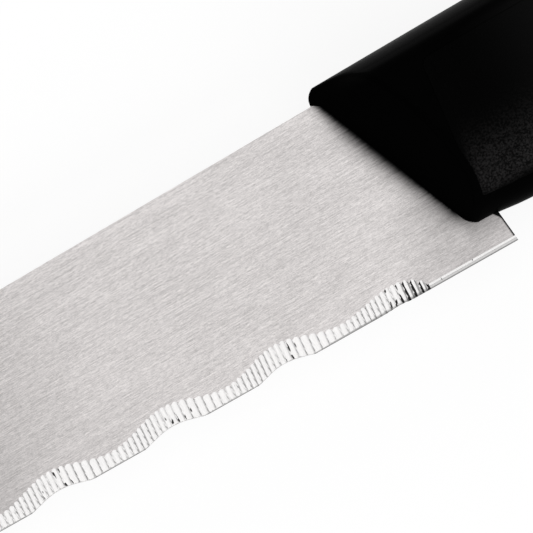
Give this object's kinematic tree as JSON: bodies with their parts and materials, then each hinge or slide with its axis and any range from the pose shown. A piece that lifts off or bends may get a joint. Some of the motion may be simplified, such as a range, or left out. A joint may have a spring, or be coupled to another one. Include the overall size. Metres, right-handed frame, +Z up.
{
  "type": "serrated carving knife",
  "caption": "Carving knife lying on its side: brushed steel blade with a wavy fluted edge ground on one face, pointed tip, and a black moulded handle with grained side inlays and a sloped nose.",
  "frame": {"origin": "bottom centre of the box round the knife as it lies on its side, fluted face up", "axes": "+X from the point to the butt, +Y from the cutting edge to the spine, +Z up out of the fluted face"},
  "size_m": [0.3176, 0.0326, 0.0196],
  "materials": {
    "blade_steel": "brushed along the blade, bright flutes",
    "smooth_black_plastic": "smooth satin black",
    "grained_black_grip": "fine moulded grain"
  },
  "bodies": {
    "root": {"blade": "blade_steel", "handle_body": "smooth_black_plastic", "grip_inlay_left": "grained_black_grip", "grip_inlay_right": "grained_black_grip"}
  },
  "joints": []
}
